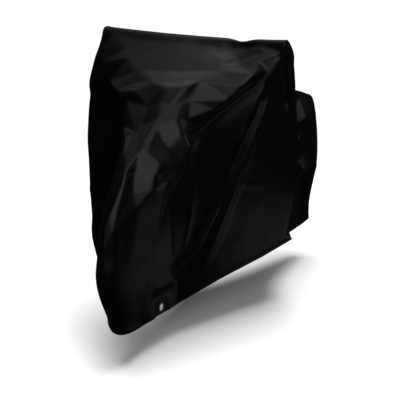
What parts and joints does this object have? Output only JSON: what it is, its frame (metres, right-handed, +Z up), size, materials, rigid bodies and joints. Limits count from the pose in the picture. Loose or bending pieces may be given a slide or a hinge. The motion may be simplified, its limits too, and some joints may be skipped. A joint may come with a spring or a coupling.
{
  "type": "bicycle cover",
  "caption": "Fitted bicycle cover in coated black cloth, draped as on a leaning bicycle: gusset, side panels and a pair of eyelets in the hem for a lock cable.",
  "frame": {"origin": "under the cover's top, at the middle of the handlebar that carries it", "axes": "+Y towards the bicycle's rear wheel, +X towards the rider's left, +Z up"},
  "size_m": [0.7086, 1.7439, 1.0321],
  "materials": {
    "gusset_cloth": "black polyester with a satin waterproof coating",
    "side_cloth": "black polyester with a satin waterproof coating",
    "tab_cloth": "doubled black polyester",
    "eyelet_enamel": "black enamel, satin"
  },
  "bodies": {
    "root": {"gusset": "gusset_cloth", "side_left": "side_cloth", "side_right": "side_cloth", "eyelet_tab_left": "tab_cloth", "eyelet_tab_right": "tab_cloth", "eyelet_left": "eyelet_enamel", "eyelet_right": "eyelet_enamel"}
  },
  "joints": []
}
